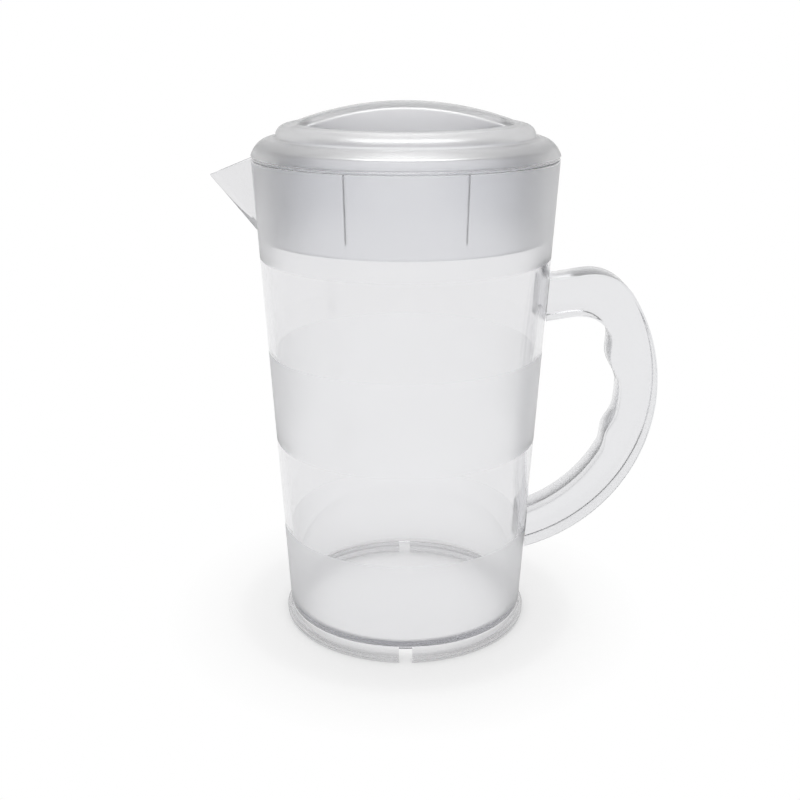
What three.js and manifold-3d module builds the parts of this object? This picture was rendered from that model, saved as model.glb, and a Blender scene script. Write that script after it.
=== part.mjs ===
// Covered plastic jug: a tapered body with a beak spout, a bar handle and a lid that turns and lifts off.
// Millimetres, +Z up. The spout points along -X and the handle along +X.

import * as THREE from 'three';
import { ConvexGeometry } from 'three/addons/geometries/ConvexGeometry.js';
import { mergeVertices } from 'three/addons/utils/BufferGeometryUtils.js';
import Module from 'manifold-3d';

// Jug body
const RIM_HEIGHT = 205;
const RIM_RADIUS = 63.5;
const BASE_RADIUS = 52.3; // outside of the wall, carried down to the table
const WALL = 3;
const FLOOR = 2.2;
const FLOOR_LIFT = 6; // underside of the floor above the table
const FOOT_RADIUS = 54.4;
const FOOT_LIP = 2.2;
const FOOT_HEIGHT = 8;
const FOOT_RING = 3.6; // radial thickness of the ring that stands on the table
const NOTCH_WIDTH = 5.6;
const NOTCH_MARGIN = 0.2; // notch roof below the floor's underside

// Facets: in a full turn, along a short bend, round an edge, along a cap and along the round grip
const ROUND_STEPS = 60;
const BEND_STEPS = 4;
const EDGE_STEPS = 2;
const CAP_STEPS = 6;
const GRIP_STEPS = 40;

// Spout
const SPOUT_REACH = 18; // tip beyond the rim
const SPOUT_DROP = 7; // tip below the rim
const SPOUT_KEEL = 31.7; // where the keel meets the wall, below the rim
const SPOUT_WIDTH = 16; // across the mouth at the rim
const SPOUT_TIP = 3.5; // solid beak ahead of the channel

// Handle
const HANDLE_WIDTH = 18;
const HANDLE_BAR = 15.7; // thickness of the grip
const HANDLE_RADIUS = 77; // outside of the round grip
const HANDLE_INSET = 26; // centre of the round grip, inside the wall
const HANDLE_CENTRE_DROP = 98.7; // centre of the round grip, below the rim
const HANDLE_ARM = 17.5; // thickness of the upper arm
const HANDLE_ARM_DROP = 50; // top of the upper arm at the wall, below the rim
const HANDLE_ARM_SLOPE = 9.5; // degrees that the upper arm rises outward
const HANDLE_SHOULDER = 13; // radius outside the bend
const HANDLE_ELBOW = 12; // radius inside the bend
const HANDLE_EDGE = 0.8; // rounding of the bar's long edges
const HANDLE_END = -100; // degrees round the grip, where its lower end is well inside the wall
const GRIP_SWELLS = [
  { angle: 13, height: 3.7, half: 13 },
  { angle: -18.5, height: 2, half: 9 },
];
const BOND_GAP = 0.3; // bond line between the handle and the wall

// Lid
const SEAL = 1; // height of the seal ring
const SEAT_GAP = 0.1; // above and below the seal ring
const SEAL_SETBACK = 0.3; // seal ring inside the rim's edge
const BRIM_OVERHANG = 0.1; // brim beyond the rim
const NOSE_WIDTH = 6.1;
const NOSE_HEIGHT = 6.8;
const NOSE_LEAN = 2; // how far the nose leans in at its shoulder
const NOSE_SHOULDER = 1.4; // the shoulder below the nose's top
const TREAD_WIDTH = 1.9;
const TREAD_RISE = 0.3;
const COVE_WIDTH = 2.3;
const COVE_RISE = 1.5;
const LIP_WIDTH = 6.3;
const LIP_RISE = 4.1;
const LIP_LEAN = 1; // how far the riser leans in at the lip
const DOME_RISE = 8.7;
const LID_WALL = 2.4;
const DISH_MARGIN = 2; // lip between the dome's edge and the dish
const DISH_DEPTH = 6.5;
const DISH_SINK = 0.4; // dish's edge below the lip
const GRIP_WIDTH = 16;

// Pour ring
const RING_CLEARANCE = 0.5; // to the inside of the jug
const RING_WALL = 2;
const RING_DEPTH = 32; // below the rim
const RING_SOCKET = 3.2; // length held inside the lid
const RING_FIT = 0.3; // ring to its socket and to the seal
const WINDOW_ANGLE = 44; // degrees round the ring
const WINDOW_SILL = 5.5; // ring left below the window
const SLOT_COUNT = 7;
const SLOT_WIDTH = 2.6;
const SLOT_PITCH = 6; // degrees between strainer slots
const SLOT_MARGIN = 4; // ring left above the strainer slots
const SLIT_ANGLE = 22.4; // degrees from the front to each slit beside the spring tab
const SLIT_WIDTH = 0.5;
const SLIT_MARGIN = 0.5; // slits' top below the rim

const OVERSHOOT = 20; // how far cutting shapes run past what they cut

const wasm = await Module();
wasm.setup();

// Levels and radii that follow from the sizes above
const taper = (RIM_RADIUS - BASE_RADIUS) / RIM_HEIGHT;
const wallRadius = (z) => BASE_RADIUS + taper * z;
const insideRadius = (z) => wallRadius(z) - WALL;
const floorTop = FLOOR_LIFT + FLOOR;
const sealBase = RIM_HEIGHT + SEAT_GAP;
const lidBase = sealBase + SEAL + SEAT_GAP;
const ringRadius = insideRadius(RIM_HEIGHT) - RING_CLEARANCE;
const socketRadius = ringRadius + RING_FIT;
const ringBase = RIM_HEIGHT - RING_DEPTH;
const ringTop = lidBase + RING_SOCKET;
const brimRadius = RIM_RADIUS + BRIM_OVERHANG;
const treadRadius = brimRadius - NOSE_WIDTH;
const coveRadius = treadRadius - TREAD_WIDTH;
const riserRadius = coveRadius - COVE_WIDTH;
const lipRadius = riserRadius - LIP_WIDTH;
const noseTop = lidBase + NOSE_HEIGHT;
const treadTop = noseTop + TREAD_RISE;
const coveTop = treadTop + COVE_RISE;
const lipTop = coveTop + LIP_RISE;
const lidTop = lipTop + DOME_RISE;
const dishRadius = lipRadius - DISH_MARGIN;

const point = (x, y) => new THREE.Vector2(x, y);
const radians = THREE.MathUtils.degToRad;

// A closed solid from a geometry whose faces share their corners
function solidOf(geometry) {
  geometry.deleteAttribute('normal');
  geometry.deleteAttribute('uv');
  const welded = mergeVertices(geometry);
  const corners = welded.index.array;
  const triangles = [];
  for (let i = 0; i < corners.length; i += 3) {
    const [a, b, c] = corners.slice(i, i + 3);
    if (a !== b && b !== c && c !== a) triangles.push(a, b, c);
  }
  return new wasm.Manifold(new wasm.Mesh({
    numProp: 3,
    vertProperties: new Float32Array(welded.attributes.position.array),
    triVerts: new Uint32Array(triangles),
  }));
}

// A named mesh from a solid
function meshOf(name, solid, look) {
  const { vertProperties, triVerts } = solid.getMesh();
  const geometry = new THREE.BufferGeometry();
  geometry.setAttribute('position', new THREE.BufferAttribute(vertProperties, 3));
  geometry.setIndex(new THREE.BufferAttribute(triVerts, 1));
  geometry.computeVertexNormals();
  const mesh = new THREE.Mesh(geometry, new THREE.MeshStandardMaterial(look));
  mesh.name = name;
  return mesh;
}

// A solid of revolution about Z from radius and height points, listed upwards along the outside
function turned(points) {
  const geometry = new THREE.LatheGeometry(points, ROUND_STEPS);
  return solidOf(geometry.rotateX(Math.PI / 2));
}

// A block between two corners
function block(low, high) {
  const size = new THREE.Vector3().subVectors(high, low);
  const centre = new THREE.Vector3().addVectors(low, high).multiplyScalar(0.5);
  const geometry = new THREE.BoxGeometry(size.x, size.y, size.z);
  return solidOf(geometry.translate(centre.x, centre.y, centre.z));
}

// Points along a quadratic curve, without its first point
function bend(from, control, to) {
  return new THREE.QuadraticBezierCurve(from, control, to).getPoints(BEND_STEPS).slice(1);
}

// The convex beak of the spout, moved along X by shift, with its back run inward and its top run up
function beak(shift, inward, lift) {
  const tip = new THREE.Vector3(-RIM_RADIUS - SPOUT_REACH + shift, 0, RIM_HEIGHT - SPOUT_DROP);
  const keelHeight = RIM_HEIGHT - SPOUT_KEEL;
  const keel = new THREE.Vector3(-wallRadius(keelHeight) + shift, 0, keelHeight);
  const mouthX = -Math.sqrt(RIM_RADIUS ** 2 - (SPOUT_WIDTH / 2) ** 2) + shift;
  const corners = [tip, keel];
  for (const side of [-1, 1]) {
    corners.push(new THREE.Vector3(mouthX, side * SPOUT_WIDTH / 2, RIM_HEIGHT));
  }
  const inner = corners.slice(1).map((corner) => corner.clone().setX(corner.x + inward));
  const raised = [...corners, ...inner].map((corner) => corner.clone().setZ(corner.z + lift));
  return solidOf(new ConvexGeometry([...corners, ...inner, ...(lift > 0 ? raised : [])]));
}

function makeJugBody() {
  const footInside = FOOT_RADIUS - FOOT_RING;
  const cove = bend(
    point(FOOT_RADIUS, FOOT_LIP),
    point(wallRadius(FOOT_LIP), FOOT_LIP),
    point(wallRadius(FOOT_HEIGHT), FOOT_HEIGHT),
  );
  const shell = turned([
    point(0, FLOOR_LIFT),
    point(footInside, FLOOR_LIFT),
    point(footInside, 0),
    point(FOOT_RADIUS, 0),
    point(FOOT_RADIUS, FOOT_LIP),
    ...cove,
    point(RIM_RADIUS, RIM_HEIGHT),
    point(insideRadius(RIM_HEIGHT), RIM_HEIGHT),
    point(insideRadius(floorTop), floorTop),
    point(0, floorTop),
  ]);
  const hollow = turned([
    point(0, floorTop),
    point(insideRadius(floorTop), floorTop),
    point(insideRadius(RIM_HEIGHT), RIM_HEIGHT),
    point(0, RIM_HEIGHT),
  ]);
  const notches = block(
    new THREE.Vector3(-NOTCH_WIDTH / 2, -FOOT_RADIUS - OVERSHOOT, -OVERSHOOT),
    new THREE.Vector3(NOTCH_WIDTH / 2, FOOT_RADIUS + OVERSHOOT, FLOOR_LIFT - NOTCH_MARGIN),
  );
  const spout = beak(0, WALL / 2, 0).subtract(hollow);
  const channel = beak(SPOUT_TIP, OVERSHOOT, OVERSHOOT);
  return shell.add(spout).subtract(channel).subtract(notches);
}

// How far the grip's inner edge swells towards the fingers at an angle round the grip
function swellAt(angle) {
  let height = 0;
  for (const swell of GRIP_SWELLS) {
    const offset = Math.min(Math.abs(angle - radians(swell.angle)) / radians(swell.half), 1);
    height += swell.height * (1 + Math.cos(Math.PI * offset)) / 2;
  }
  return height;
}

// Side view of the handle: a sloping upper arm bends into a round grip that runs down into the wall
function handleOutline() {
  const centreHeight = RIM_HEIGHT - HANDLE_CENTRE_DROP;
  const centre = point(wallRadius(centreHeight) - HANDLE_INSET, centreHeight);
  const onRound = (radius, angle) => point(radius, 0).rotateAround(point(0, 0), angle).add(centre);
  const slope = radians(HANDLE_ARM_SLOPE);
  const armTop = RIM_HEIGHT - HANDLE_ARM_DROP;
  const rootX = wallRadius(armTop);
  const onArm = (x, drop) => point(x, armTop - drop + Math.tan(slope) * (x - rootX));

  // One edge of the bar, from the lower end round the grip and along the arm to the wall
  const edge = (drop, corner, radiusAt) => {
    const start = radians(HANDLE_END);
    const radius = radiusAt(start);
    const rise = (onArm(centre.x, drop).y - centre.y) * Math.cos(slope);
    const meeting = slope + Math.asin(rise / radius);
    const end = meeting - corner / radius;
    const points = [];
    for (let i = 0; i <= GRIP_STEPS; i += 1) {
      const angle = THREE.MathUtils.lerp(start, end, i / GRIP_STEPS);
      points.push(onRound(radiusAt(angle), angle));
    }
    const turn = onRound(radius, meeting);
    points.push(...bend(points.at(-1), turn, onArm(turn.x - corner, drop)));
    points.push(onArm(centre.x, drop));
    return points;
  };
  const outer = edge(0, HANDLE_SHOULDER, () => HANDLE_RADIUS);
  const inner = edge(HANDLE_ARM, HANDLE_ELBOW, (angle) => HANDLE_RADIUS - HANDLE_BAR - swellAt(angle));
  return new THREE.Shape([...outer, ...inner.reverse()]);
}

function makeHandle() {
  const geometry = new THREE.ExtrudeGeometry(handleOutline(), {
    depth: HANDLE_WIDTH - 2 * HANDLE_EDGE,
    bevelThickness: HANDLE_EDGE,
    bevelSize: HANDLE_EDGE,
    bevelOffset: -HANDLE_EDGE,
    bevelSegments: EDGE_STEPS,
  });
  geometry.translate(0, 0, HANDLE_EDGE - HANDLE_WIDTH / 2);
  const wall = turned([
    point(0, -OVERSHOOT),
    point(wallRadius(-OVERSHOOT) + BOND_GAP, -OVERSHOOT),
    point(wallRadius(RIM_HEIGHT + OVERSHOOT) + BOND_GAP, RIM_HEIGHT + OVERSHOOT),
    point(0, RIM_HEIGHT + OVERSHOOT),
  ]);
  return solidOf(geometry.rotateX(Math.PI / 2)).subtract(wall);
}

// A spherical cap's points from its edge to the axis; rise is negative for a bowl
function capPoints(edgeRadius, edgeHeight, rise) {
  const radius = (edgeRadius ** 2 + rise ** 2) / (2 * Math.abs(rise));
  const up = Math.sign(rise);
  const centreHeight = edgeHeight + rise - up * radius;
  const points = [];
  for (let i = 0; i <= CAP_STEPS; i += 1) {
    const r = edgeRadius * (1 - i / CAP_STEPS);
    points.push(point(r, centreHeight + up * Math.sqrt(radius ** 2 - r ** 2)));
  }
  return points;
}

// Top of the lid from the tread to the axis, moved inward and down by inset
function crownPoints(inset) {
  const at = (r, z) => point(r - inset, z - inset);
  return [
    at(coveRadius, treadTop),
    ...bend(at(coveRadius, treadTop), at(riserRadius, treadTop), at(riserRadius, coveTop)),
    ...bend(at(riserRadius, coveTop), at(riserRadius - LIP_LEAN, lipTop), at(lipRadius, lipTop)),
    ...capPoints(lipRadius - inset, lipTop - inset, DOME_RISE).slice(1),
  ];
}

// The space of the dish above its bowl, with walls grown outward and down by grow
function dish(grow) {
  const edge = lipTop - DISH_SINK - grow;
  const bowl = capPoints(dishRadius + grow, edge, -DISH_DEPTH).reverse();
  const roof = lidTop + OVERSHOOT;
  return turned([...bowl, point(dishRadius + grow, roof), point(0, roof)]);
}

// The grip bar's upright slice of the lid
function gripSlice(halfWidth) {
  return block(
    new THREE.Vector3(-brimRadius, -halfWidth, lidBase - OVERSHOOT),
    new THREE.Vector3(brimRadius, halfWidth, lidTop + 2 * OVERSHOOT),
  );
}

function makeLidCap() {
  const nose = bend(
    point(brimRadius, lidBase),
    point(brimRadius - NOSE_LEAN, noseTop - NOSE_SHOULDER),
    point(treadRadius, noseTop),
  );
  const outside = turned([point(0, lidBase), point(brimRadius, lidBase), ...nose, ...crownPoints(0)]);
  const socketTop = ringTop + RING_FIT;
  const inside = turned([
    point(0, lidBase - OVERSHOOT),
    point(socketRadius, lidBase - OVERSHOOT),
    point(socketRadius, socketTop),
    point(socketRadius - RING_WALL - RING_FIT, socketTop),
    ...crownPoints(LID_WALL),
  ]);
  const scoops = dish(0).subtract(gripSlice(GRIP_WIDTH / 2));
  const scoopWalls = dish(LID_WALL).subtract(gripSlice(GRIP_WIDTH / 2 - LID_WALL));
  return outside.subtract(scoops).subtract(inside.subtract(scoopWalls));
}

// A wedge-shaped cutter facing one way round the jug
function wedge(middle, halfAngle, low, high) {
  const reach = brimRadius / Math.cos(halfAngle);
  const corners = [];
  for (const z of [low, high]) {
    corners.push(new THREE.Vector3(0, 0, z));
    for (const side of [-1, 1]) {
      const angle = middle + side * halfAngle;
      corners.push(new THREE.Vector3(reach * Math.cos(angle), reach * Math.sin(angle), z));
    }
  }
  return solidOf(new ConvexGeometry(corners));
}

// An upright bar across the pour ring's wall, at an angle round the jug
function ringBar(width, angle, low, high) {
  const geometry = new THREE.BoxGeometry(2 * OVERSHOOT, width, high - low);
  geometry.translate(ringRadius, 0, (low + high) / 2);
  return solidOf(geometry.rotateZ(angle));
}

// The pour ring: a spring tab between two slits at the front, the window at the back and strainer slots
// towards the handle
function makePourRing() {
  const front = -Math.PI / 2;
  const sill = ringBase + WINDOW_SILL;
  const low = insideRadius(ringBase) - RING_CLEARANCE;
  let ring = turned([
    point(low - RING_WALL, ringBase),
    point(low, ringBase),
    point(ringRadius, RIM_HEIGHT),
    point(ringRadius, ringTop),
    point(ringRadius - RING_WALL, ringTop),
    point(ringRadius - RING_WALL, RIM_HEIGHT),
    point(low - RING_WALL, ringBase),
  ]);
  for (const side of [-1, 1]) {
    const turn = front + side * radians(SLIT_ANGLE);
    ring = ring.subtract(ringBar(SLIT_WIDTH, turn, sill, RIM_HEIGHT - SLIT_MARGIN));
  }
  ring = ring.subtract(wedge(-front, radians(WINDOW_ANGLE / 2), sill, lidBase));
  for (let i = 0; i < SLOT_COUNT; i += 1) {
    const turn = radians((i - (SLOT_COUNT - 1) / 2) * SLOT_PITCH);
    ring = ring.subtract(ringBar(SLOT_WIDTH, turn, sill, RIM_HEIGHT - SLOT_MARGIN));
  }
  return ring;
}

function makeSealRing() {
  const outer = RIM_RADIUS - SEAL_SETBACK;
  return turned([
    point(socketRadius, sealBase),
    point(outer, sealBase),
    point(outer, sealBase + SEAL),
    point(socketRadius, sealBase + SEAL),
    point(socketRadius, sealBase),
  ]);
}

const clear = { color: 0xe8eaec, roughness: 0.08, metalness: 0, transparent: true, opacity: 0.3 };
const frosted = { color: 0xdfe1e4, roughness: 0.55, metalness: 0, transparent: true, opacity: 0.55 };

const jug = new THREE.Group();
jug.add(meshOf('jug_body', makeJugBody(), clear));
jug.add(meshOf('handle', makeHandle(), clear));

const lid = new THREE.Group();
lid.add(meshOf('seal_ring', makeSealRing(), clear));
lid.add(meshOf('lid_cap', makeLidCap(), frosted));
lid.add(meshOf('pour_ring', makePourRing(), frosted));
jug.add(lid);

// The origin lies on the table, under the middle of the whole object
const box = new THREE.Box3().setFromObject(jug);
jug.position.x = -(box.min.x + box.max.x) / 2;

export default jug;
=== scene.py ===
import math
from collections import namedtuple

import bmesh
import bpy
from mathutils import Matrix, Vector
from mathutils.geometry import delaunay_2d_cdt


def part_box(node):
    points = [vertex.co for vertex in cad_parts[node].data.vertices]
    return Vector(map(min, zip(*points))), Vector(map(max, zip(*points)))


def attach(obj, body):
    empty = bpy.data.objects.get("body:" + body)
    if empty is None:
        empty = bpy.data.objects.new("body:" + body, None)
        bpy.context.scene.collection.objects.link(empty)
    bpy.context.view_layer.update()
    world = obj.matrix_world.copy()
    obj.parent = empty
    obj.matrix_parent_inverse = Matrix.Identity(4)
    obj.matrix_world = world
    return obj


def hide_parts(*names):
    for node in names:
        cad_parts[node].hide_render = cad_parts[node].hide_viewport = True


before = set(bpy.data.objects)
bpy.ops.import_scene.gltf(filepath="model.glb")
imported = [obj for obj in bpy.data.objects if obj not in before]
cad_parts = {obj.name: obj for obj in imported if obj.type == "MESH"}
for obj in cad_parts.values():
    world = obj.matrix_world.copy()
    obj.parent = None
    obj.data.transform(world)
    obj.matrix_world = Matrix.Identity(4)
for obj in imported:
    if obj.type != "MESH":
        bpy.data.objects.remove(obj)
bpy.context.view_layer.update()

axis_x = (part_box("lid_cap")[0].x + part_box("lid_cap")[1].x) / 2  # the jug's axis, in metres

# Sizes are in millimetres about the jug's axis, as in the part's source
MM = 0.001
TURN = 192  # points round a full turn
MERGE_DIGITS = 3  # corners that agree to this many decimals are one
FLAT_ANGLE = 0.01  # faces that meet at less than this, in radians, are one flat face
SHARP_ANGLE = math.radians(32)  # steeper edges stay sharp
HOLD = 0.4  # how far past a rounded corner, as a share of its radius, the flat beside it begins
SMOOTH, FROSTED, INSIDE = 0, 1, 2  # finishes of a face

# Jug
RIM_HEIGHT = 205.0
RIM_RADIUS = 63.5
RIM_ROUND = 0.4
RIM_STEPS = 5
BASE_RADIUS = 52.3
WALL = 3.0
FLOOR_LIFT = 6.0
FLOOR_TOP = 8.2
FLOOR_ROUND = 1.5
FOOT_RADIUS = 54.4
FOOT_INSIDE = 50.8
FOOT_HEIGHT = 8.0
FOOT_LIP = 2.2
FOOT_ROUND = 0.6
SOLE_ROUND = 0.5
NOTCH_WIDTH = 5.6
NOTCH_HEIGHT = 5.8
NOTCH_MARGIN = 4.0  # how far the notch's cutter runs past the foot, inside and out
NOTCH_BELOW = 5.0
FROST_BASE = 8.8
BAND_EDGES = (45.0, 85.0, 125.0, 165.0)  # heights where a frosted and a clear band meet
SPOUT_REACH = 18.0
SPOUT_DROP = 7.0
SPOUT_KEEL = 31.7
SPOUT_WIDTH = 16.0
SPOUT_TIP = 3.5
SPOUT_EDGE = 0.35
KEEL_SINK = 0.4  # the keel's lower end inside the wall
CHANNEL_REACH = 20.0  # how far the channel's cutter runs on, inward and up

# Handle
HANDLE_WIDTH = 18.0
HANDLE_BAR = 15.7
HANDLE_RADIUS = 76.99  # 0.01 less than the solid's, so that the finer bow stays inside its box
HANDLE_INSET = 26.0
HANDLE_DROP = 98.7
HANDLE_ARM = 17.5
HANDLE_EDGE = 0.8
EDGE_STEPS = 4
EDGE_FLAT = 0.3  # how far past the rounded edge the flat side begins
ARM_DROP = 50.0
ARM_SLOPE = math.radians(9.5)
ARM_ROOT = 20.0  # the arm's end, from the bow's centre, before the wall cuts it back
SHOULDER = 13.0
ELBOW = 12.0
BEND_STEPS = 12
BOW_START = math.radians(-100)
BOW_STEPS = 110
SWELLS = ((13.0, 3.7, 13.0), (-18.5, 2.0, 9.0))  # angle in degrees, height, half width in degrees
LEAST_MITRE = 0.3  # keeps a sharp corner from moving too far
BOND_GAP = 0.3
WALL_SPACE = (-20, 225)  # heights between which the jug's form is cut out of the handle

# Lid cap
LID_BASE = 206.2
LID_TOP = 227.6
LID_WALL = 2.4
BRIM_RADIUS = 63.6
BRIM_ROUND = 0.4
NOSE_TOP = 213.0
NOSE_LEAN = 2.0
NOSE_SHOULDER = 1.4
NOSE_STEPS = 14
TREAD_RADIUS = 57.5
TREAD_TOP = 213.3
COVE_RADIUS = 55.6
COVE_TOP = 214.8
RISER_RADIUS = 53.3
LIP_RADIUS = 47.0
LIP_TOP = 218.9
LIP_LEAN = 1.0
LIP_STEPS = 10
CROWN_RADIUS = 46.5
CROWN_INSIDE = 44.0
CROWN_MARGIN = 0.6
DISH_RADIUS = 45.0
DISH_EDGE = 218.5
DISH_DEPTH = 6.5
GRIP_HALF = 8.0
SOCKET_RADIUS = 60.3
SOCKET_STEP = 58.0
SOCKET_TOP = 209.7

# Finger recesses outside and inside the cap. half is the straight side's distance from the middle, radius
# and corner are the round side's and the ends' in plan, and the rest round the edges and the floor.
Recess = namedtuple("Recess", "half radius corner bar_round rim_round foot_round")
OUTER_RECESS = Recess(half=GRIP_HALF, radius=DISH_RADIUS, corner=5.0,
                      bar_round=2.6, rim_round=1.2, foot_round=2.2)
INNER_RECESS = Recess(half=GRIP_HALF - LID_WALL, radius=CROWN_INSIDE - CROWN_MARGIN, corner=5.0,
                      bar_round=1.0, rim_round=0.4, foot_round=2.2)
STRAIGHT_STEPS = 64
END_STEPS = 12
ARC_STEPS = 120
BRINK_STEPS = 8
FOOT_STEPS = 6
DISH_STEPS = 11
BRINK_HOLD = 0.15  # how far outside a recess's rounded edge the dome keeps its own slope
BRINK_SHARE, FOOT_SHARE = 0.6, 0.35  # the most of a recess's depth that its two roundings take
FOOT_GAP = 0.2  # distance in plan between the two roundings
LEAST_DEPTH = 0.05
BAR_FROM, BAR_SPAN = 0.2, 0.6  # how directly an edge faces the bar as it takes on the bar's rounding
BAR_COUNT, BAR_STEP = 18, 2.45  # rows of points each way along the bar's top, and their spacing
BAR_ROWS = (-0.6, -0.2, 0.2, 0.6)  # places of those points across the bar's top
BAR_MARGIN = 1.0
PLAN_GRAIN = 1e-5  # points of the plan nearer than this are one

# Pour ring and seal
RING_BASE = 173.0
RING_TOP = 209.4
RING_RADIUS = 60.0
RING_WALL = 2.0
RING_ROUND = 0.3
RING_CLEARANCE = 0.5
SKIRT_ROUND = 0.5
CUT_REACH = 10.0  # how far a slot's cutter runs past the ring, inside and out
WINDOW_HALF = math.radians(22)
WINDOW_SILL = 178.5
WINDOW_REACH = 70.0
SLOT_COUNT = 7
SLOT_WIDTH = 2.6
SLOT_PITCH = math.radians(6)
SLOT_TOP = 201.0
SLIT_ANGLE = math.radians(22.4)
SLIT_WIDTH = 0.5
SLIT_TOP = 204.5
FRONT = -math.pi / 2
SEAL_INSIDE = 60.3
SEAL_RADIUS = 63.2
SEAL_BASE = 205.1
SEAL_TOP = 206.1
SEAL_ROUND = 0.35

# Plastics: colours, and scales of the faint unevenness in colour, gloss and frost
CLEAR = (1.0, 1.0, 1.0)  # the jug's inner faces
WHITE = (0.996, 0.996, 1.0)
PALE = (0.93, 0.932, 0.942)
DIMMED = (0.8, 0.802, 0.814)  # what thick plastic leaves of white light
TINT_SCALE, TINT_DETAIL, TINT_DIP = 45.0, 3.0, 0.99
GLOSS_SCALE, FROST_SCALE, GRAIN_DETAIL = 60.0, 1800.0, 2.0
NOISE_LOW, NOISE_HIGH = 0.3, 0.7  # the range that most of a noise's values lie in

# Floor, light and camera, in metres and watts
FLOOR_SIZE = 8.0
FLOOR_CUTS = 8
FLOOR_GREY = 0.9
# distance from the axis, and the floor's own share of light there: its dip round the foot is a painted
# shadow, which also lets the floor's real shadow show
GLOW_AND_PAINTED_SHADOW = ((0.0, 0.95), (0.032, 0.95), (0.048, 0.78), (0.058, 0.74), (0.08, 0.88), (0.11, 1.0))
# painted contact shadow: where ambient occlusion within this reach finds the jug, the floor's glow drops
# towards this share
CONTACT_SHADE_REACH, CONTACT_SHADE_SHARE, CONTACT_SHADE_SAMPLES = 0.006, 0.45, 8
ROOM_FRONT, ROOM_BACK, ROOM_DARK = -0.1, 0.8, 0.1  # the room goes from dark in front to white behind
TOP_POWER, TOP_SIZE = 12.5, (1.2, 1.8)
TOP_BACK, TOP_HEIGHT = -0.3, 1.5
PHOTO_SIZE = 800
FOCAL_LENGTH = 1128.9  # in the photo's pixels
SENSOR = 36.0  # millimetres
CAMERA_PLACE = (-0.00234, -0.47396, 0.25549)  # from the foot of the axis
CAMERA_TILT = 18.22  # degrees down from level
BOUNCES = 40


# Mesh building

class Shell:
    """Faces in millimetres about the jug's axis. Corners at one place are shared."""

    def __init__(self):
        self.points, self.found, self.faces, self.finishes = [], {}, [], []

    def corner(self, p):
        key = tuple(round(c, MERGE_DIGITS) for c in p)
        if key not in self.found:
            self.found[key] = len(self.points)
            self.points.append(p)
        return self.found[key]

    def face(self, corners, finish=SMOOTH):
        ring = []
        for p in corners:
            i = self.corner(p)
            if i not in ring:
                ring.append(i)
        if len(ring) > 2:
            self.faces.append(ring)
            self.finishes.append(finish)

    def strip(self, low, high, finish=SMOOTH):
        """Quads between two closed rows of points of equal length."""
        n = len(low)
        for i in range(n):
            j = (i + 1) % n
            self.face((low[i], low[j], high[j], high[i]), finish)

    def turned(self, profile, finishes=None):
        """A surface of revolution. The profile runs upwards along the outside."""
        rings = [circle(r, z) for r, z in profile]
        for k in range(len(rings) - 1):
            self.strip(rings[k], rings[k + 1], finishes[k] if finishes else SMOOTH)

    def build(self, name, material=None):
        mesh = bpy.data.meshes.new(name)
        moved = [(axis_x + x * MM, y * MM, z * MM) for x, y, z in self.points]
        mesh.from_pydata(moved, [], self.faces)
        mesh.materials.append(material)
        mark(mesh, self.finishes)
        mesh.update()
        return placed(name, mesh)


def placed(name, data):
    obj = bpy.data.objects.new(name, data)
    bpy.context.scene.collection.objects.link(obj)
    return obj


def mark(mesh, finishes):
    """Marks each face as frosted or as one of the jug's inner faces."""
    for name, marked in (("frost", FROSTED), ("inside", INSIDE)):
        values = mesh.attributes.new(name, "FLOAT", "FACE")
        values.data.foreach_set("value", [float(finish == marked) for finish in finishes])


def circle(r, z):
    angles = [math.tau * (i + 0.5) / TURN for i in range(TURN)]
    return [(r * math.cos(a), r * math.sin(a), z) for a in angles]


def rounded(path, steps=4):
    """A polyline of (x, y) or (x, y, radius) points with its corners rounded."""
    out = []
    for k, spot in enumerate(path):
        here = Vector(spot[:2])
        if len(spot) < 3 or k in (0, len(path) - 1):
            out.append(tuple(here))
            continue
        back = (Vector(path[k - 1][:2]) - here).normalized()
        ahead = (Vector(path[k + 1][:2]) - here).normalized()
        half = back.angle(ahead) / 2
        reach = spot[2] / math.tan(half)
        middle = here + (back + ahead).normalized() * (spot[2] / math.sin(half))
        first, last = here + back * reach - middle, here + ahead * reach - middle
        sweep = first.angle_signed(last)
        out.append(tuple(here + back * (reach + HOLD * spot[2])))
        for i in range(steps + 1):
            out.append(tuple(middle + Matrix.Rotation(-sweep * i / steps, 2) @ first))
        out.append(tuple(here + ahead * (reach + HOLD * spot[2])))
    return out


def bend(a, b, c, steps=8):
    """Points along a quadratic curve, without its first point."""
    out = []
    for i in range(1, steps + 1):
        t = i / steps
        out.append(tuple((1 - t) ** 2 * p + 2 * t * (1 - t) * q + t * t * r for p, q, r in zip(a, b, c)))
    return out


def arc(centre, radius, start, end, steps):
    """Points along an arc, without its first point."""
    angles = [start + (end - start) * i / steps for i in range(1, steps + 1)]
    return [(centre[0] + radius * math.cos(a), centre[1] + radius * math.sin(a)) for a in angles]


def hull(name, corners, edge=0.0, finish=SMOOTH):
    """A convex solid from points in millimetres about the jug's axis, its edges rounded by edge."""
    mesh = bmesh.new()
    for x, y, z in corners:
        mesh.verts.new((axis_x + x * MM, y * MM, z * MM))
    bmesh.ops.convex_hull(mesh, input=mesh.verts)
    loose = [v for v in mesh.verts if not v.link_faces]
    bmesh.ops.delete(mesh, geom=loose, context="VERTS")
    if edge:
        flat = [e for e in mesh.edges if e.calc_face_angle() < FLAT_ANGLE]
        bmesh.ops.dissolve_edges(mesh, edges=flat)
        bmesh.ops.bevel(mesh, geom=mesh.edges, offset=edge * MM, segments=3, profile=0.5, affect="EDGES")
    bmesh.ops.recalc_face_normals(mesh, faces=mesh.faces)
    data = bpy.data.meshes.new(name)
    mesh.to_mesh(data)
    mesh.free()
    mark(data, [finish] * len(data.polygons))
    return placed(name, data)


def block(name, low, high):
    xs, ys, zs = zip(low, high)
    return hull(name, [(x, y, z) for x in xs for y in ys for z in zs])


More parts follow.
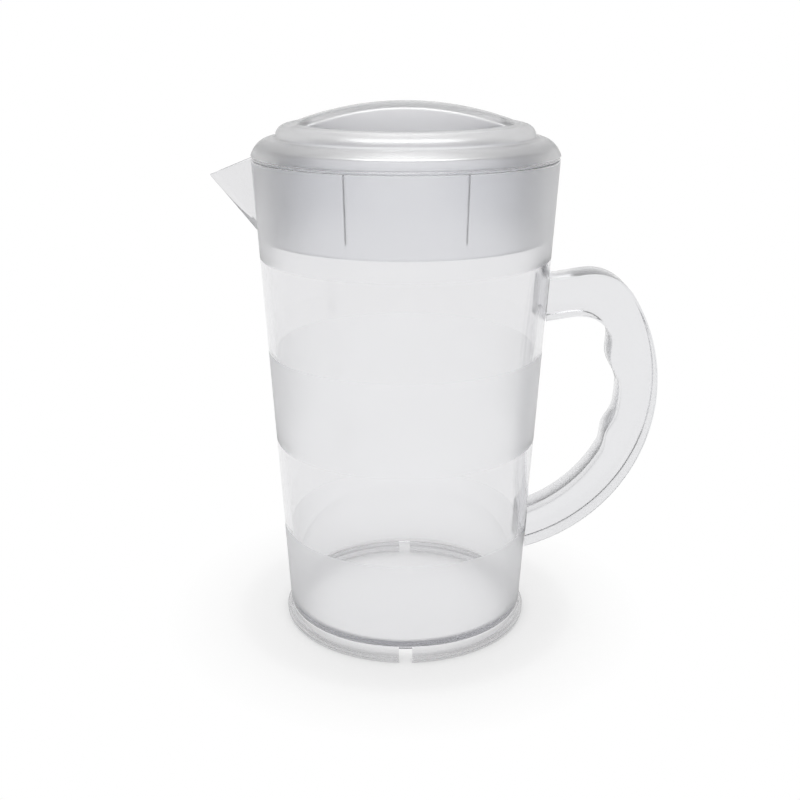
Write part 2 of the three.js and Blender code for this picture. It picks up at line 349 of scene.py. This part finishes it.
def combine(obj, tool, operation):
    """Joins another solid to obj or cuts it away, and removes that solid."""
    step = obj.modifiers.new("combine", "BOOLEAN")
    step.operation, step.solver, step.object = operation, "EXACT", tool
    graph = bpy.context.evaluated_depsgraph_get()
    mesh = bpy.data.meshes.new_from_object(obj.evaluated_get(graph))
    obj.modifiers.clear()
    obj.data = mesh
    bpy.data.objects.remove(tool)


def face_outward(obj):
    mesh = bmesh.new()
    mesh.from_mesh(obj.data)
    bmesh.ops.recalc_face_normals(mesh, faces=mesh.faces)
    mesh.to_mesh(obj.data)
    mesh.free()


def finish_piece(obj, node, body):
    obj.data.polygons.foreach_set("use_smooth", [True] * len(obj.data.polygons))
    obj.data.set_sharp_from_angle(angle=SHARP_ANGLE)
    obj.data.update()
    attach(obj, body)
    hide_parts(node)


# Materials

def plastic(name, tint, haze, rough, frost, density, ior=1.5):
    """Plastic that dims light on its way through.

    tint and haze are the colours of its smooth and its frosted faces, rough and frost their ranges of
    roughness. density is how strongly it dims.
    """
    material = bpy.data.materials.new(name)
    material.use_nodes = True
    nodes, links = material.node_tree.nodes, material.node_tree.links
    shader = nodes["Principled BSDF"]
    shader.inputs["Transmission Weight"].default_value = 1.0
    shader.inputs["IOR"].default_value = ior
    place = nodes.new("ShaderNodeTexCoord")

    def noise(scale, detail):
        node = nodes.new("ShaderNodeTexNoise")
        node.inputs["Scale"].default_value = scale
        node.inputs["Detail"].default_value = detail
        links.new(place.outputs["Object"], node.inputs["Vector"])
        return node.outputs["Fac"]

    def between(value, ends):
        node = nodes.new("ShaderNodeMapRange")
        node.inputs["From Min"].default_value = NOISE_LOW
        node.inputs["From Max"].default_value = NOISE_HIGH
        node.inputs["To Min"].default_value = ends[0]
        node.inputs["To Max"].default_value = ends[1]
        links.new(value, node.inputs["Value"])
        return node.outputs["Result"]

    def marked(attribute):
        node = nodes.new("ShaderNodeAttribute")
        node.attribute_name = attribute
        return node.outputs["Fac"]

    def shade(colour):
        ramp = nodes.new("ShaderNodeValToRGB")
        low, high = ramp.color_ramp.elements
        low.color = (*(TINT_DIP * c for c in colour), 1)
        high.color = (*colour, 1)
        low.position = NOISE_LOW
        high.position = NOISE_HIGH
        links.new(noise(TINT_SCALE, TINT_DETAIL), ramp.inputs["Fac"])
        return ramp.outputs["Color"]

    def mixed(data_type, kind, factor, first, second):
        """first where factor is 0, second where it is 1. kind is the word for data_type in socket names."""
        node = nodes.new("ShaderNodeMix")
        node.data_type = data_type
        sockets = {socket.identifier: socket for socket in (*node.inputs, *node.outputs)}
        links.new(factor, sockets["Factor_Float"])
        links.new(first, sockets["A_" + kind])
        links.new(second, sockets["B_" + kind])
        return sockets["Result_" + kind]

    colour = mixed("RGBA", "Color", marked("frost"), shade(tint), shade(haze))
    colour = mixed("RGBA", "Color", marked("inside"), colour, shade(CLEAR))
    links.new(colour, shader.inputs["Base Color"])
    gloss = between(noise(GLOSS_SCALE, GRAIN_DETAIL), rough)
    grain = between(noise(FROST_SCALE, GRAIN_DETAIL), frost)
    links.new(mixed("FLOAT", "Float", marked("frost"), gloss, grain), shader.inputs["Roughness"])
    dim = nodes.new("ShaderNodeVolumeAbsorption")
    dim.inputs["Color"].default_value = (*DIMMED, 1)
    dim.inputs["Density"].default_value = density
    links.new(dim.outputs["Volume"], nodes["Material Output"].inputs["Volume"])
    return material


jug_plastic = plastic("jug_plastic", tint=(0.845, 0.843, 0.854), haze=(0.932, 0.934, 0.947),
                      rough=(0.02, 0.05), frost=(0.29, 0.34), density=40)
handle_plastic = plastic("handle_plastic", tint=(0.965, 0.965, 0.971), haze=WHITE,
                         rough=(0.12, 0.16), frost=(0.3, 0.36), density=45)
lid_plastic = plastic("lid_plastic", tint=(0.982, 0.982, 0.996), haze=WHITE,
                      rough=(0.02, 0.06), frost=(0.36, 0.42), density=10)
ring_plastic = plastic("ring_plastic", tint=PALE, haze=(0.974, 0.979, 0.998),
                       rough=(0.02, 0.06), frost=(0.28, 0.3), density=8)
seal_rubber = plastic("seal_rubber", tint=PALE, haze=WHITE,
                      rough=(0.05, 0.12), frost=(0.3, 0.36), density=45, ior=1.42)


# Jug body

def wall_radius(z):
    return BASE_RADIUS + (RIM_RADIUS - BASE_RADIUS) / RIM_HEIGHT * z


def jug_profile():
    """Half section from the underside round the foot and rim to the floor, and each stretch's finish."""
    foot = rounded([
        (0, FLOOR_LIFT),
        (FOOT_INSIDE, FLOOR_LIFT, FOOT_ROUND),
        (FOOT_INSIDE, 0, SOLE_ROUND),
        (FOOT_RADIUS, 0, FOOT_ROUND),
        (FOOT_RADIUS, FOOT_LIP),
    ])
    cove_end = (wall_radius(FOOT_HEIGHT), FOOT_HEIGHT)
    cove = bend((FOOT_RADIUS, FOOT_LIP), (wall_radius(FOOT_LIP), FOOT_LIP), cove_end)
    profile = foot + cove + [(wall_radius(FROST_BASE), FROST_BASE)]
    finishes = [SMOOTH] * (len(foot) + len(cove))
    for k, top in enumerate(BAND_EDGES):
        profile.append((wall_radius(top), top))
        finishes.append(SMOOTH if k % 2 else FROSTED)
    inside = rounded([
        profile[-1],
        (RIM_RADIUS, RIM_HEIGHT, RIM_ROUND),
        (RIM_RADIUS - WALL, RIM_HEIGHT, RIM_ROUND),
        (wall_radius(FLOOR_TOP) - WALL, FLOOR_TOP, FLOOR_ROUND),
        (0, FLOOR_TOP),
    ], RIM_STEPS)[1:]
    rim_points = 2 * (RIM_STEPS + 3)  # two rounded corners, each with a held point on both sides
    finishes += [FROSTED] + [SMOOTH] * (rim_points - 1) + [INSIDE] * (len(inside) - rim_points)
    return profile + inside, finishes


def beak(name, shift, inward, lift, edge=0.0, finish=SMOOTH):
    """The spout's form, moved towards the axis by shift and drawn out inward and upward."""
    keel_height = RIM_HEIGHT - SPOUT_KEEL
    mouth = -math.sqrt(RIM_RADIUS ** 2 - (SPOUT_WIDTH / 2) ** 2) + shift
    corners = [(-wall_radius(keel_height) + KEEL_SINK + shift, 0, keel_height)]
    corners += [(mouth, side * SPOUT_WIDTH / 2, RIM_HEIGHT) for side in (-1, 1)]
    corners += [(x + inward, y, z) for x, y, z in corners]
    corners.append((-RIM_RADIUS - SPOUT_REACH + shift, 0, RIM_HEIGHT - SPOUT_DROP))
    if lift:
        corners += [(x, y, z + lift) for x, y, z in corners]
    return hull(name, corners, edge, finish)


def make_jug():
    shell = Shell()
    shell.turned(*jug_profile())
    jug = shell.build("jug_wall", jug_plastic)
    combine(jug, beak("beak", 0, WALL / 2, 0, edge=SPOUT_EDGE), "UNION")
    combine(jug, beak("channel", SPOUT_TIP, CHANNEL_REACH, CHANNEL_REACH, finish=INSIDE), "DIFFERENCE")
    for side in (-1, 1):
        near, far = sorted((side * (FOOT_INSIDE - NOTCH_MARGIN), side * (FOOT_RADIUS + NOTCH_MARGIN)))
        low, high = (-NOTCH_WIDTH / 2, near, -NOTCH_BELOW), (NOTCH_WIDTH / 2, far, NOTCH_HEIGHT)
        combine(jug, block("notch", low, high), "DIFFERENCE")
    finish_piece(jug, "jug_body", "jug")


# Handle

def swell(angle):
    """How far the finger swells stand in from the bow's inner edge at an angle."""
    total = 0.0
    for at, height, half in SWELLS:
        offset = min(abs(math.degrees(angle) - at) / half, 1)
        total += height * (1 + math.cos(math.pi * offset)) / 2
    return total


def handle_outline():
    """Side view of the bar: its outer edge from the lower root to the upper, and its inner edge back."""
    centre_z = RIM_HEIGHT - HANDLE_DROP
    centre_x = wall_radius(centre_z) - HANDLE_INSET
    arm_top = RIM_HEIGHT - ARM_DROP
    root = wall_radius(arm_top)

    def on_arm(x, drop):
        return (x, arm_top - drop + math.tan(ARM_SLOPE) * (x - root))

    def edge(drop, corner, radius, swells):
        rise = (on_arm(centre_x, drop)[1] - centre_z) * math.cos(ARM_SLOPE)
        meeting = ARM_SLOPE + math.asin(rise / radius)
        end = meeting - corner / radius
        points = []
        for i in range(BOW_STEPS + 1):
            angle = BOW_START + (end - BOW_START) * i / BOW_STEPS
            r = radius - (swell(angle) if swells else 0)
            points.append((centre_x + r * math.cos(angle), centre_z + r * math.sin(angle)))
        turn = (centre_x + radius * math.cos(meeting), centre_z + radius * math.sin(meeting))
        points += bend(points[-1], turn, on_arm(turn[0] - corner, drop), BEND_STEPS)
        points.append(on_arm(centre_x + ARM_ROOT, drop))
        return points

    outer = edge(0, SHOULDER, HANDLE_RADIUS, False)
    inner = edge(HANDLE_ARM, ELBOW, HANDLE_RADIUS - HANDLE_BAR, True)
    return outer + inner[::-1]


def inset(points, amount):
    """The outline moved inward along its corners' normals."""
    out = []
    n = len(points)
    for i in range(n):
        a, b, c = (Vector(points[k % n]) for k in (i - 1, i, i + 1))
        before, after = (b - a).normalized(), (c - b).normalized()
        normal = Vector((-before.y - after.y, before.x + after.x)).normalized()
        out.append(tuple(b + normal * amount / max(LEAST_MITRE, normal.dot(Vector((-before.y, before.x))))))
    return out


def make_handle():
    outline = handle_outline()
    half = HANDLE_WIDTH / 2
    angles = [math.radians(90 * i / EDGE_STEPS) for i in range(EDGE_STEPS + 1)]
    flat = inset(outline, HANDLE_EDGE + EDGE_FLAT)
    rows = [[(x, -half, z) for x, z in flat]]
    for side in (-1, 1):
        for a in angles[::-side]:
            ring = inset(outline, HANDLE_EDGE * (1 - math.sin(a)))
            y = side * (half - HANDLE_EDGE * (1 - math.cos(a)))
            rows.append([(x, y, z) for x, z in ring])
    rows.append([(x, half, z) for x, z in flat])
    shell = Shell()
    for low, high in zip(rows, rows[1:]):
        shell.strip(low, high)
    shell.face(rows[0][::-1])
    shell.face(rows[-1])
    handle = shell.build("handle_bar", handle_plastic)
    face_outward(handle)
    space = Shell()
    wall = [(wall_radius(z) + BOND_GAP, z) for z in WALL_SPACE]
    space.turned([(0, WALL_SPACE[0]), *wall, (0, WALL_SPACE[1])])
    combine(handle, space.build("wall_space"), "DIFFERENCE")
    finish_piece(handle, "handle", "jug")


# Lid cap

def cap_height(r, edge_radius, edge_height, rise):
    """Height of a spherical cap at a distance from the axis; rise is negative for a bowl."""
    radius = (edge_radius ** 2 + rise ** 2) / (2 * abs(rise))
    up = math.copysign(1, rise)
    return edge_height + rise - up * (radius - math.sqrt(max(radius ** 2 - r ** 2, 0)))


def dome(r):
    return cap_height(r, LIP_RADIUS, LIP_TOP, LID_TOP - LIP_TOP)


def dome_inside(r):
    return cap_height(r, LIP_RADIUS - LID_WALL, LIP_TOP - LID_WALL, LID_TOP - LIP_TOP)


def dish(r):
    return cap_height(r, DISH_RADIUS, DISH_EDGE, -DISH_DEPTH)


def dish_inside(r):
    return dish(r) - LID_WALL


def recess_outline(recess):
    """Plan of the front finger recess: the grip bar's side and the round rim, with rounded ends."""
    back = recess.half + recess.corner
    x = math.sqrt((recess.radius - recess.corner) ** 2 - back ** 2)
    left, right = math.tau + math.atan2(-back, -x), math.tau + math.atan2(-back, x)
    up = math.pi / 2
    points = [(x - 2 * x * i / STRAIGHT_STEPS, -recess.half) for i in range(STRAIGHT_STEPS + 1)]
    points += arc((-x, -back), recess.corner, up, left, END_STEPS)
    points += arc((0, 0), recess.radius, left, right, ARC_STEPS)
    points += arc((x, -back), recess.corner, right, math.tau + up, END_STEPS)[:-1]
    return points


def recess_loops(recess, top, bowl):
    """Closed rows of points from the dome over the front recess's edge to its floor, and its middle.

    top and bowl give the dome's and the recess's height at a distance from the axis.
    """
    outline = [Vector(p) for p in recess_outline(recess)]
    stations = []
    for i, spot in enumerate(outline):
        along = (outline[(i + 1) % len(outline)] - outline[i - 1]).normalized()
        out = Vector((along.y, -along.x))
        straight = max(0.0, min(1.0, (out.y - BAR_FROM) / BAR_SPAN))
        width = recess.rim_round + (recess.bar_round - recess.rim_round) * straight
        depth = max(top(spot.length) - bowl(spot.length), LEAST_DEPTH)
        stations.append((spot, out, width, depth))

    def brink(reach, angle):
        loop = []
        for spot, out, width, depth in stations:
            p = spot + out * (width * (1 - math.sin(angle)) + reach)
            tall = min(width, BRINK_SHARE * depth)
            loop.append((p.x, p.y, top(p.length) - tall * (1 - math.cos(angle))))
        return loop

    def foot(angle):
        loop = []
        for spot, out, _, depth in stations:
            p = spot - out * (FOOT_GAP + recess.foot_round * (1 - math.cos(angle)))
            tall = min(recess.foot_round, FOOT_SHARE * depth)
            loop.append((p.x, p.y, bowl(p.length) + tall * (1 - math.sin(angle))))
        return loop

    loops = [brink(BRINK_HOLD, 0)]
    loops += [brink(0, math.pi / 2 * k / BRINK_STEPS) for k in range(BRINK_STEPS + 1)]
    loops += [foot(math.pi / 2 * k / FOOT_STEPS) for k in range(FOOT_STEPS + 1)]
    heart = Vector((0, -(recess.half + recess.radius) / 2))
    edge = [Vector(p[:2]) for p in loops[-1]]
    for k in range(1, DISH_STEPS):
        spots = [p.lerp(heart, k / DISH_STEPS) for p in edge]
        loops.append([(p.x, p.y, bowl(p.length)) for p in spots])
    return loops, (heart.x, heart.y, bowl(heart.length))


def crown(shell, disc, recess, top, bowl, up, finish):
    """The crown inside a circle: a dome with a finger recess on each side of the grip bar."""
    order = 1 if up else -1

    def lay(corners):
        shell.face(corners[::order], finish)

    front, middle = recess_loops(recess, top, bowl)
    brinks = []
    for turn in (1, -1):
        loops = [[(turn * x, turn * y, z) for x, y, z in loop] for loop in front]
        heart = (turn * middle[0], turn * middle[1], middle[2])
        n = len(loops[0])
        for low, high in zip(loops, loops[1:]):
            for i in range(n):
                j = (i + 1) % n
                lay((low[j], high[j], high[i], low[i]))
        for i in range(n):
            lay((loops[-1][i], loops[-1][(i + 1) % n], heart))
        brinks.append([Vector(p[:2]) for p in loops[0]])

    points, edges = [], []
    for loop in ([Vector(p[:2]) for p in circle(disc, 0)], *brinks):
        start, n = len(points), len(loop)
        points += loop
        edges += [(start + i, start + (i + 1) % n) for i in range(n)]
    for i in range(-BAR_COUNT, BAR_COUNT + 1):
        for row in BAR_ROWS:
            spot = Vector((i * BAR_STEP, row * (recess.half - recess.bar_round)))
            if spot.length < disc - BAR_MARGIN:
                points.append(spot)
    found, _, faces, *_ = delaunay_2d_cdt(points, edges, [], 0, PLAN_GRAIN)
    for face in faces:
        corners = [found[i] for i in face]
        centre = (corners[0] + corners[1] + corners[2]) / 3
        if any(within(centre, loop) for loop in brinks):
            continue
        spots = [(p.x, p.y, top(p.length)) for p in corners]
        if (corners[1] - corners[0]).cross(corners[2] - corners[0]) < 0:
            spots.reverse()
        lay(spots)


def within(p, loop):
    """Whether a point lies inside a closed outline."""
    inside = False
    for a, b in zip(loop, loop[1:] + loop[:1]):
        if (a.y > p.y) != (b.y > p.y) and p.x < a.x + (p.y - a.y) / (b.y - a.y) * (b.x - a.x):
            inside = not inside
    return inside


def lid_steps(depth):
    """The lid's section from the tread up to the lip, moved inward and down by depth."""
    tread = (COVE_RADIUS - depth, TREAD_TOP - depth)
    cove = (RISER_RADIUS - depth, COVE_TOP - depth)
    lip = (LIP_RADIUS - depth, LIP_TOP - depth)
    steps = [tread] + bend(tread, (cove[0], tread[1]), cove)
    return steps + bend(cove, (cove[0] - LIP_LEAN, lip[1]), lip, LIP_STEPS)


def make_lid():
    under = [(CROWN_INSIDE, dome_inside(CROWN_INSIDE)), *lid_steps(LID_WALL)[::-1]]
    under += [(SOCKET_STEP, SOCKET_TOP), (SOCKET_RADIUS, SOCKET_TOP), (SOCKET_RADIUS, LID_BASE)]
    under.append((BRIM_RADIUS - BRIM_ROUND, LID_BASE))
    brim = (BRIM_RADIUS, LID_BASE + BRIM_ROUND)
    shoulder = (BRIM_RADIUS - NOSE_LEAN, NOSE_TOP - NOSE_SHOULDER)
    nose = bend(brim, shoulder, (TREAD_RADIUS, NOSE_TOP), NOSE_STEPS)
    over = [brim, *nose, *lid_steps(0), (CROWN_RADIUS, dome(CROWN_RADIUS))]
    shell = Shell()
    shell.turned(under + over, [SMOOTH] * len(under) + [FROSTED] * (len(over) - 1))
    crown(shell, CROWN_RADIUS, OUTER_RECESS, dome, dish, True, FROSTED)
    crown(shell, CROWN_INSIDE, INNER_RECESS, dome_inside, dish_inside, False, SMOOTH)
    lid = shell.build("lid_shell", lid_plastic)
    finish_piece(lid, "lid_cap", "lid")


# Pour ring

def cut_ring(ring, angle, width, high):
    """Cuts an upright slot through the ring's wall, from the window's sill up."""
    out, along = Vector((math.cos(angle), math.sin(angle))), Vector((-math.sin(angle), math.cos(angle)))
    corners = []
    for z in (WINDOW_SILL, high):
        for r in (RING_RADIUS - CUT_REACH, RING_RADIUS + CUT_REACH):
            for side in (-0.5, 0.5):
                p = out * r + along * side * width
                corners.append((p.x, p.y, z))
    combine(ring, hull("slot", corners), "DIFFERENCE")


def window():
    """The wedge that cuts the pour window, at the back."""
    reach = WINDOW_REACH / math.cos(WINDOW_HALF)
    x, y = reach * math.sin(WINDOW_HALF), reach * math.cos(WINDOW_HALF)
    return hull("window", [(*p, z) for z in (WINDOW_SILL, LID_BASE) for p in ((0, 0), (-x, y), (x, y))])


def make_ring():
    low = wall_radius(RING_BASE) - WALL - RING_CLEARANCE
    inside = RING_RADIUS - RING_WALL
    section = rounded([
        (low - RING_WALL / 2, RING_BASE),
        (low, RING_BASE, SKIRT_ROUND),
        (RING_RADIUS, RIM_HEIGHT),
        (RING_RADIUS, RING_TOP, RING_ROUND),
        (inside, RING_TOP, RING_ROUND),
        (inside, RIM_HEIGHT),
        (low - RING_WALL, RING_BASE, SKIRT_ROUND),
        (low - RING_WALL / 2, RING_BASE),
    ])
    shell = Shell()
    shell.turned(section, [FROSTED] * len(section))
    ring = shell.build("pour_skirt", ring_plastic)
    for side in (-1, 1):
        cut_ring(ring, FRONT + side * SLIT_ANGLE, SLIT_WIDTH, SLIT_TOP)
    combine(ring, window(), "DIFFERENCE")
    for i in range(SLOT_COUNT):
        cut_ring(ring, (i - (SLOT_COUNT - 1) / 2) * SLOT_PITCH, SLOT_WIDTH, SLOT_TOP)
    finish_piece(ring, "pour_ring", "lid")


# Seal ring

def make_seal():
    middle = (SEAL_INSIDE + SEAL_RADIUS) / 2
    shell = Shell()
    shell.turned(rounded([
        (middle, SEAL_BASE),
        (SEAL_RADIUS, SEAL_BASE, SEAL_ROUND),
        (SEAL_RADIUS, SEAL_TOP, SEAL_ROUND),
        (SEAL_INSIDE, SEAL_TOP, SEAL_ROUND),
        (SEAL_INSIDE, SEAL_BASE, SEAL_ROUND),
        (middle, SEAL_BASE),
    ]))
    seal = shell.build("seal_band", seal_rubber)
    finish_piece(seal, "seal_ring", "seal")


# Floor, light and camera

def joined(tree, operation, first, second):
    """The product or the larger of two values between 0 and 1."""
    node = tree.nodes.new("ShaderNodeMath")
    node.operation = operation
    node.use_clamp = True
    tree.links.new(first, node.inputs[0])
    tree.links.new(second, node.inputs[1])
    return node.outputs[0]


def seen(tree):
    """1 for rays from the camera and for mirrored and refracted ones, else 0."""
    path = tree.nodes.new("ShaderNodeLightPath").outputs
    through = joined(tree, "MAXIMUM", path["Is Glossy Ray"], path["Is Transmission Ray"])
    return joined(tree, "MAXIMUM", path["Is Camera Ray"], through)


def floor_material():
    """White that glows where it is seen, less so near the jug, and for other rays only takes light. The
    lower glow near the jug lets its real shadow show and paints a darker ring round the foot, with a
    painted contact shadow where the jug stands close by.
    """
    material = bpy.data.materials.new("floor_white")
    material.use_nodes = True
    tree = material.node_tree
    nodes, links = tree.nodes, tree.links
    nodes.clear()
    place = nodes.new("ShaderNodeTexCoord")
    away = nodes.new("ShaderNodeVectorMath")
    away.operation = "LENGTH"
    links.new(place.outputs["Object"], away.inputs[0])
    # painted shadow: the glow by distance from the axis is lower round the jug's foot
    glow_and_painted_shadow = nodes.new("ShaderNodeFloatCurve")
    curve = glow_and_painted_shadow.mapping.curves[0]
    while len(curve.points) < len(GLOW_AND_PAINTED_SHADOW):
        curve.points.new(*GLOW_AND_PAINTED_SHADOW[-1])
    for point, stop in zip(curve.points, GLOW_AND_PAINTED_SHADOW):
        point.location = stop
    glow_and_painted_shadow.mapping.update()
    links.new(away.outputs["Value"], glow_and_painted_shadow.inputs["Value"])
    # painted contact shadow: ambient occlusion cuts the floor's glow beside the jug
    occlusion = nodes.new("ShaderNodeAmbientOcclusion")
    occlusion.samples = CONTACT_SHADE_SAMPLES
    occlusion.inputs["Distance"].default_value = CONTACT_SHADE_REACH
    painted_contact_shade = nodes.new("ShaderNodeMapRange")
    painted_contact_shade.inputs["To Min"].default_value = CONTACT_SHADE_SHARE
    links.new(occlusion.outputs["AO"], painted_contact_shade.inputs["Value"])
    share = joined(tree, "MULTIPLY", seen(tree), glow_and_painted_shadow.outputs["Value"])
    share = joined(tree, "MULTIPLY", share, painted_contact_shade.outputs["Result"])
    diffuse = nodes.new("ShaderNodeBsdfDiffuse")
    diffuse.inputs["Color"].default_value = (FLOOR_GREY, FLOOR_GREY, FLOOR_GREY, 1)
    glow = nodes.new("ShaderNodeEmission")
    mix = nodes.new("ShaderNodeMixShader")
    links.new(share, mix.inputs["Fac"])
    links.new(diffuse.outputs["BSDF"], mix.inputs[1])
    links.new(glow.outputs["Emission"], mix.inputs[2])
    out = nodes.new("ShaderNodeOutputMaterial")
    links.new(mix.outputs["Shader"], out.inputs["Surface"])
    return material


def make_floor():
    bpy.ops.mesh.primitive_grid_add(x_subdivisions=FLOOR_CUTS, y_subdivisions=FLOOR_CUTS, size=FLOOR_SIZE)
    floor = bpy.context.object
    floor.name = "floor"
    floor.location.x = axis_x
    floor.data.materials.append(floor_material())


def make_room():
    """A room that is dark in front and white behind, and white wherever the camera sees it."""
    world = bpy.data.worlds.new("studio")
    bpy.context.scene.world = world
    world.use_nodes = True
    tree = world.node_tree
    nodes, links = tree.nodes, tree.links
    place = nodes.new("ShaderNodeTexCoord")
    parts = nodes.new("ShaderNodeSeparateXYZ")
    links.new(place.outputs["Generated"], parts.inputs["Vector"])
    ramp = nodes.new("ShaderNodeMapRange")
    ramp.interpolation_type = "SMOOTHSTEP"
    ramp.inputs["From Min"].default_value = ROOM_FRONT
    ramp.inputs["From Max"].default_value = ROOM_BACK
    ramp.inputs["To Min"].default_value = ROOM_DARK
    ramp.inputs["To Max"].default_value = 1.0
    links.new(parts.outputs["Y"], ramp.inputs["Value"])
    path = nodes.new("ShaderNodeLightPath")
    level = joined(tree, "MAXIMUM", path.outputs["Is Camera Ray"], ramp.outputs["Result"])
    sky = nodes["Background"]
    links.new(level, sky.inputs["Strength"])
    sky.inputs["Color"].default_value = (1, 1, 1, 1)


def make_lamp():
    light = bpy.data.lights.new("top", "AREA")
    light.shape = "RECTANGLE"
    light.size, light.size_y = TOP_SIZE
    light.energy = TOP_POWER
    placed("top", light).location = (axis_x, TOP_BACK, TOP_HEIGHT)


def make_camera():
    lens = bpy.data.cameras.new("camera")
    lens.sensor_width = SENSOR
    lens.lens = FOCAL_LENGTH / PHOTO_SIZE * SENSOR
    camera = placed("camera", lens)
    camera.location = (axis_x + CAMERA_PLACE[0], *CAMERA_PLACE[1:])
    camera.rotation_euler = (math.radians(90 - CAMERA_TILT), 0, 0)
    scene = bpy.context.scene
    scene.camera = camera
    scene.view_settings.view_transform = "Standard"
    scene.cycles.max_bounces = BOUNCES
    scene.cycles.transmission_bounces = BOUNCES
    scene.cycles.glossy_bounces = BOUNCES


make_jug()
make_handle()
make_lid()
make_ring()
make_seal()
make_floor()
make_room()
make_lamp()
make_camera()
